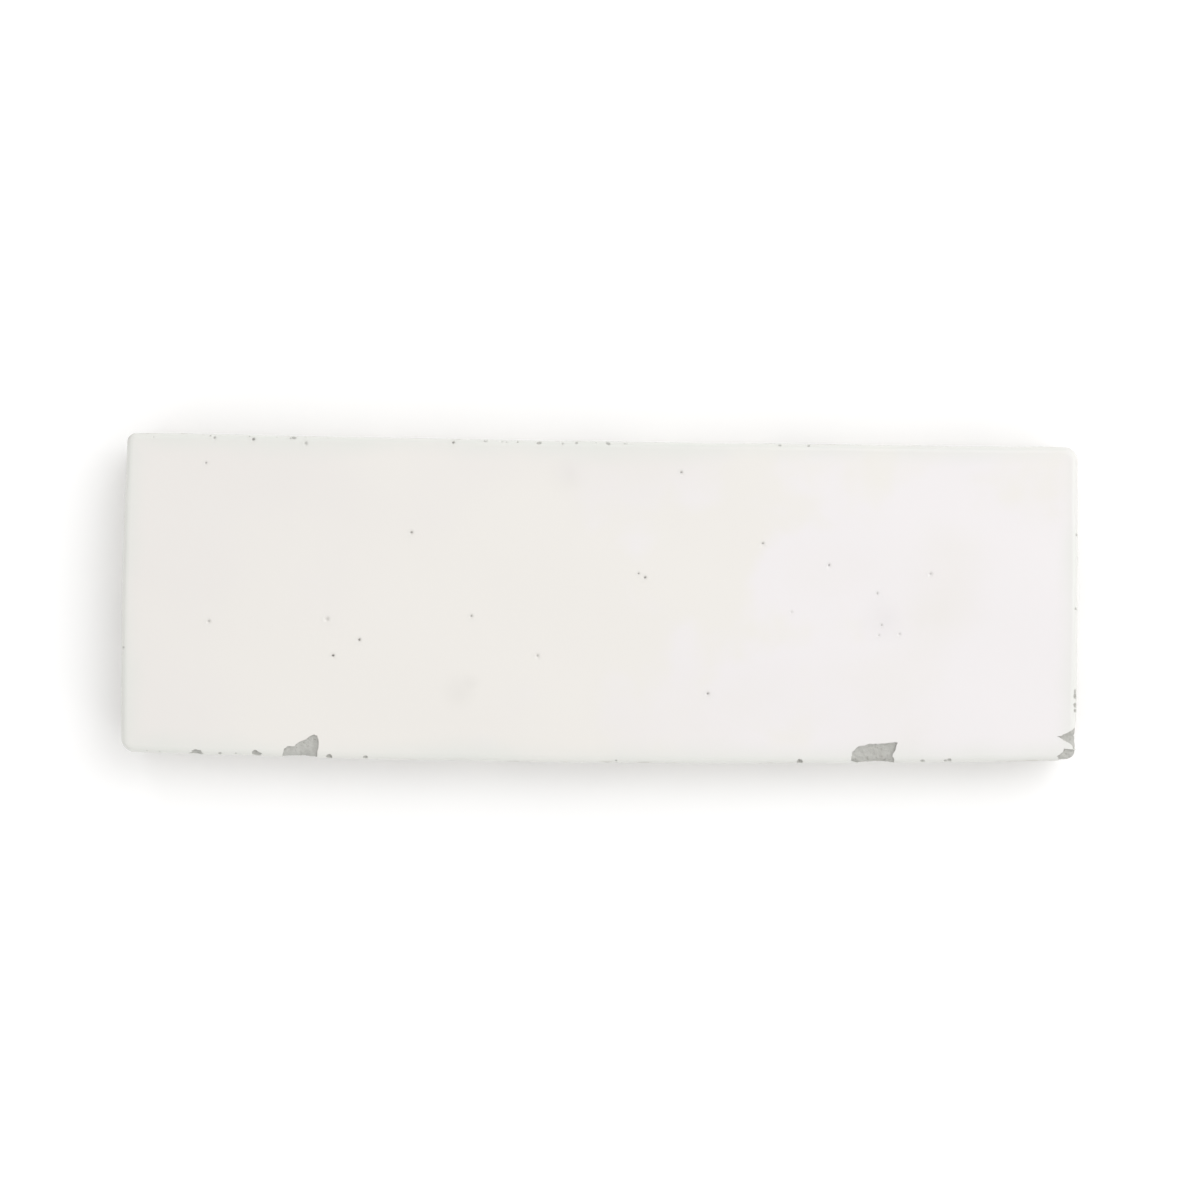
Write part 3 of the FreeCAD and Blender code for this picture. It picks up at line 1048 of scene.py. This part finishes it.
def clay_colour(b, finish, place, speck, crumb):
    """A warm skin, greyer where it is freshly broken, dark in its hollows and pale on its ridges, with pale
    and dark grains all through."""
    fresh = b.attribute("broken")
    worn = 1 - fresh
    mottle = b.noise(place, 7 * mm, detail=5.0, roughness=0.62)
    # How deep a hollow looks, with some crumb: it sets the painted shade, with some dust, in the hollows and
    # the painted highlight, with some rubbing, on the ridges
    relief_shade_and_wear = b.attribute("dent") + (crumb - 0.5) * 0.9
    earth = b.mixed(fresh, tuple(finish.skin), tuple(finish.clay))
    earth = b.mixed(mottle.rise(0.60, 0.34) * (0.15 + 0.25 * worn), earth, tuple(finish.dark_clay))
    # Painted shade in the hollows of the clay, then a painted highlight on its ridges
    earth = b.mixed(relief_shade_and_wear.rise(0.50, 1.05) * worn * 0.8, earth, tuple(finish.dark_clay))
    earth = b.mixed(relief_shade_and_wear.rise(0.38, 0.06) * worn * 0.7, earth, tuple(finish.pale_clay))
    earth = b.mixed(speck.rise(0.58, 0.70) * 0.5, earth, tuple(finish.pale_clay))
    return b.mixed(speck.rise(0.42, 0.30) * 0.55, earth, tuple(finish.dark_clay))


def glazed_clay(finish):
    """The finish of the tile: white glaze, and bare clay where there is none."""
    material = bpy.data.materials.new("glazed_clay")
    material.use_nodes = True
    material.node_tree.nodes.clear()
    b = Builder(material.node_tree)
    place = b.field("ShaderNodeTexCoord", output="Object")
    x, y, z = b.parts(place)
    fray = b.noise(place, 0.5 * mm, detail=3.0) - 0.5
    unglazed = 1 - (b.attribute("glaze") + fray * 0.25).rise(-0.04, 0.06)
    through = (b.attribute("under_glaze") + fray * 0.3).rise(-0.03, 0.03)
    open_clay = unglazed.at_least(b.attribute("broken") * through)

    # The glaze is rubbed away along the outer half of the roll, in a thin broken line
    rubbing = b.vector(x * 0.35, y * 0.35, z)
    rub = b.noise(rubbing, 0.8 * mm, detail=4.0, roughness=0.7) * 0.6 + b.noise(place, 11 * mm) * 0.4
    outer_roll = (b.attribute("fall") / mm).bump_at(0.7, 0.9)
    bare = open_clay.at_least(rub.rise(0.52, 0.62) * outer_roll * finish.rub)

    patch = b.noise(place, 15 * mm, detail=3.0, roughness=0.55)
    speck = b.noise(place, 0.55 * mm, detail=3.0, roughness=0.7)
    crumb = b.noise(place, 1.3 * mm, detail=4.0, roughness=0.75)
    white = glaze_colour(b, finish, place, patch)
    earth = clay_colour(b, finish, place, speck, crumb)

    haze = b.noise(place, 9 * mm, detail=4.0)
    gloss = finish.glaze_roughness + finish.haze * haze
    roughness = gloss + (finish.clay_roughness - gloss) * bare.at_least(b.attribute("pit"))

    peel = b.noise(place, 1.1 * mm)
    grit = b.noise(place, 0.35 * mm, detail=4.0, roughness=0.7)
    roughcast = (grit - 0.5) * 0.15 + (speck - 0.5) * 0.15 + (crumb - 0.5) * 0.45
    relief = (peel - 0.5) * (1 - open_clay) * finish.peel + roughcast * open_clay
    bump = b.add("ShaderNodeBump", {"Height": relief, "Distance": mm, "Strength": 1.0})
    body = b.add("ShaderNodeBsdfPrincipled", {
        "Base Color": b.mixed(bare, white, earth), "Roughness": roughness,
        "Normal": Field(b, bump.outputs[0]), "IOR": 1.5,
    })
    out = b.add("ShaderNodeOutputMaterial")
    b.plug(Field(b, body.outputs[0]), out.inputs["Surface"])
    return material


class ZELLIGE_OT_tile(bpy.types.Operator):
    """Makes the glazed tile, with its pinholes, nicks and lost flakes"""

    bl_idname = "zellige.tile"
    bl_label = "Glazed tile"

    def execute(self, context):
        scene = context.scene
        material = glazed_clay(scene.zellige_finish)
        empty = bpy.data.meshes.new("empty")
        slab = grown(empty, slab_tree(scene.zellige_shape), scene.zellige_shape, material, "slab")
        slab = centred(refined(slab))

        holes = pinhole_points()
        surface = surface_tree(scene.zellige_surface, holes)
        whole = centred(grown(slab, surface, scene.zellige_surface, material, "surface"))

        flakes = flake_cutters(whole, scene.zellige_damage)
        nicks = nick_points(whole, scene.zellige_damage)
        damage = damage_tree(scene.zellige_damage, nicks, flakes)
        worn = grown(whole.copy(), damage, scene.zellige_damage, material, "glazed_tile")
        worn = shaded(read_again(worn, whole, scene.zellige_damage))
        for holder in (holes, flakes, nicks):
            bpy.data.objects.remove(holder)

        tile = linked("glazed_tile", worn)
        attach(tile, "root")
        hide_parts(CAD_NODE)
        return {"FINISHED"}


def soft_light(name, place, size, watts, tint):
    """A large soft light that faces the tile."""
    lamp = bpy.data.lights.new(name, "AREA")
    lamp.shape = "RECTANGLE"
    lamp.size, lamp.size_y = size
    lamp.energy = watts
    lamp.color = tint
    holder = linked(name, lamp)
    holder.location = place
    holder.rotation_euler = (-Vector(place)).to_track_quat("-Z", "Y").to_euler()


def room_light(stage):
    """Soft light from all round, brightest from above and from the right."""
    world = bpy.data.worlds.new("room")
    world.use_nodes = True
    b = Builder(world.node_tree)
    across, _, up = b.parts(b.field("ShaderNodeTexCoord", output="Generated"))
    background = world.node_tree.nodes["Background"]
    background.inputs["Color"].default_value = (1.0, 0.995, 0.985, 1.0)
    from_above = (stage.ceiling - stage.horizon) * up.at_least(0)
    from_below = (stage.under - stage.horizon) * (-up).at_least(0) * (1 - across * 1.4)
    strength = stage.horizon + from_above + from_below + stage.slant * across
    darkest = 0.02
    b.plug(strength.at_least(darkest), background.inputs["Strength"])
    return world


def pale_ground(stage):
    """A wide flat sheet, matt, with a slight glow of its own."""
    half = stage.ground_size / 2
    corners = [(-half, -half, 0), (half, -half, 0), (half, half, 0), (-half, half, 0)]
    mesh = bpy.data.meshes.new("ground")
    mesh.from_pydata(corners, [], [(0, 1, 2, 3)])
    paint = bpy.data.materials.new("pale_ground")
    paint.use_nodes = True
    shader = paint.node_tree.nodes["Principled BSDF"]
    shader.inputs["Base Color"].default_value = stage.ground
    shader.inputs["Roughness"].default_value = 0.9
    shader.inputs["Specular IOR Level"].default_value = 0.2
    shader.inputs["Emission Color"].default_value = stage.ground
    shader.inputs["Emission Strength"].default_value = stage.ground_glow
    mesh.materials.append(paint)
    return linked("ground", mesh)


def overhead_camera(stage, tile_length):
    """A camera straight above the tile, as far off as the tile's share of the picture asks."""
    lens = bpy.data.cameras.new("camera")
    lens.lens = stage.lens
    lens.clip_start = 0.01
    lens.clip_end = 20
    half_angle = math.atan(lens.sensor_width / 2 / lens.lens)
    width = tile_length / stage.frame_share
    camera = linked("camera", lens)
    camera.location = (0, 0, CAD_HIGH.z + width / 2 / math.tan(half_angle))
    camera.rotation_euler = Euler((0, 0, stage.camera_turn))
    return camera


class ZELLIGE_OT_stage(bpy.types.Operator):
    """Makes the ground, the lights and the camera"""

    bl_idname = "zellige.stage"
    bl_label = "Stage"

    def execute(self, context):
        scene = context.scene
        stage = scene.zellige_stage
        pale_ground(stage)
        scene.world = room_light(stage)
        soft_light("key_light", KEY_PLACE, KEY_SIZE, stage.key_power, (0.98, 0.98, 1.0))
        for number, part in enumerate(BOX_SHARES):
            turn = math.tau * (number + 0.5) / len(BOX_SHARES)
            right = math.sin(turn) * stage.box_distance
            rear = math.cos(turn) * stage.box_distance
            place = (right, rear, stage.box_height)
            soft_light(f"box_light_{number}", place, BOX_SIZE, stage.box_power * part, (1.0, 1.0, 1.0))
        scene.camera = overhead_camera(stage, scene.zellige_shape.tile_length)
        scene.view_settings.view_transform = "Standard"
        return {"FINISHED"}


class VIEW3D_PT_zellige(bpy.types.Panel):
    """Lists the sizes, the finish and the steps"""

    bl_label = "Zellige tile"
    bl_space_type = "VIEW_3D"
    bl_region_type = "UI"
    bl_category = "Zellige"

    def draw(self, context):
        layout = self.layout
        for title, settings in settings_of(context.scene):
            box = layout.box()
            box.label(text=title)
            for item in own_properties(settings):
                box.prop(settings, item.identifier)
        layout.operator(ZELLIGE_OT_tile.bl_idname)
        layout.operator(ZELLIGE_OT_stage.bl_idname)


GROUPS = {
    "zellige_shape": TileShape, "zellige_surface": TileSurface, "zellige_damage": TileDamage,
    "zellige_finish": TileFinish, "zellige_stage": StageSettings,
}
CLASSES = [*GROUPS.values(), ZELLIGE_OT_tile, ZELLIGE_OT_stage, VIEW3D_PT_zellige]


def settings_of(scene):
    """The groups of settings of a scene, each with its title."""
    return [(group.__doc__, getattr(scene, name)) for name, group in GROUPS.items()]


def register():
    for item in CLASSES:
        bpy.utils.register_class(item)
    for name, group in GROUPS.items():
        setattr(bpy.types.Scene, name, bpy.props.PointerProperty(type=group))


def unregister():
    for name in GROUPS:
        delattr(bpy.types.Scene, name)
    for item in reversed(CLASSES):
        bpy.utils.unregister_class(item)


def main():
    register()
    bpy.ops.zellige.tile()
    bpy.ops.zellige.stage()


if __name__ == "__main__":
    main()
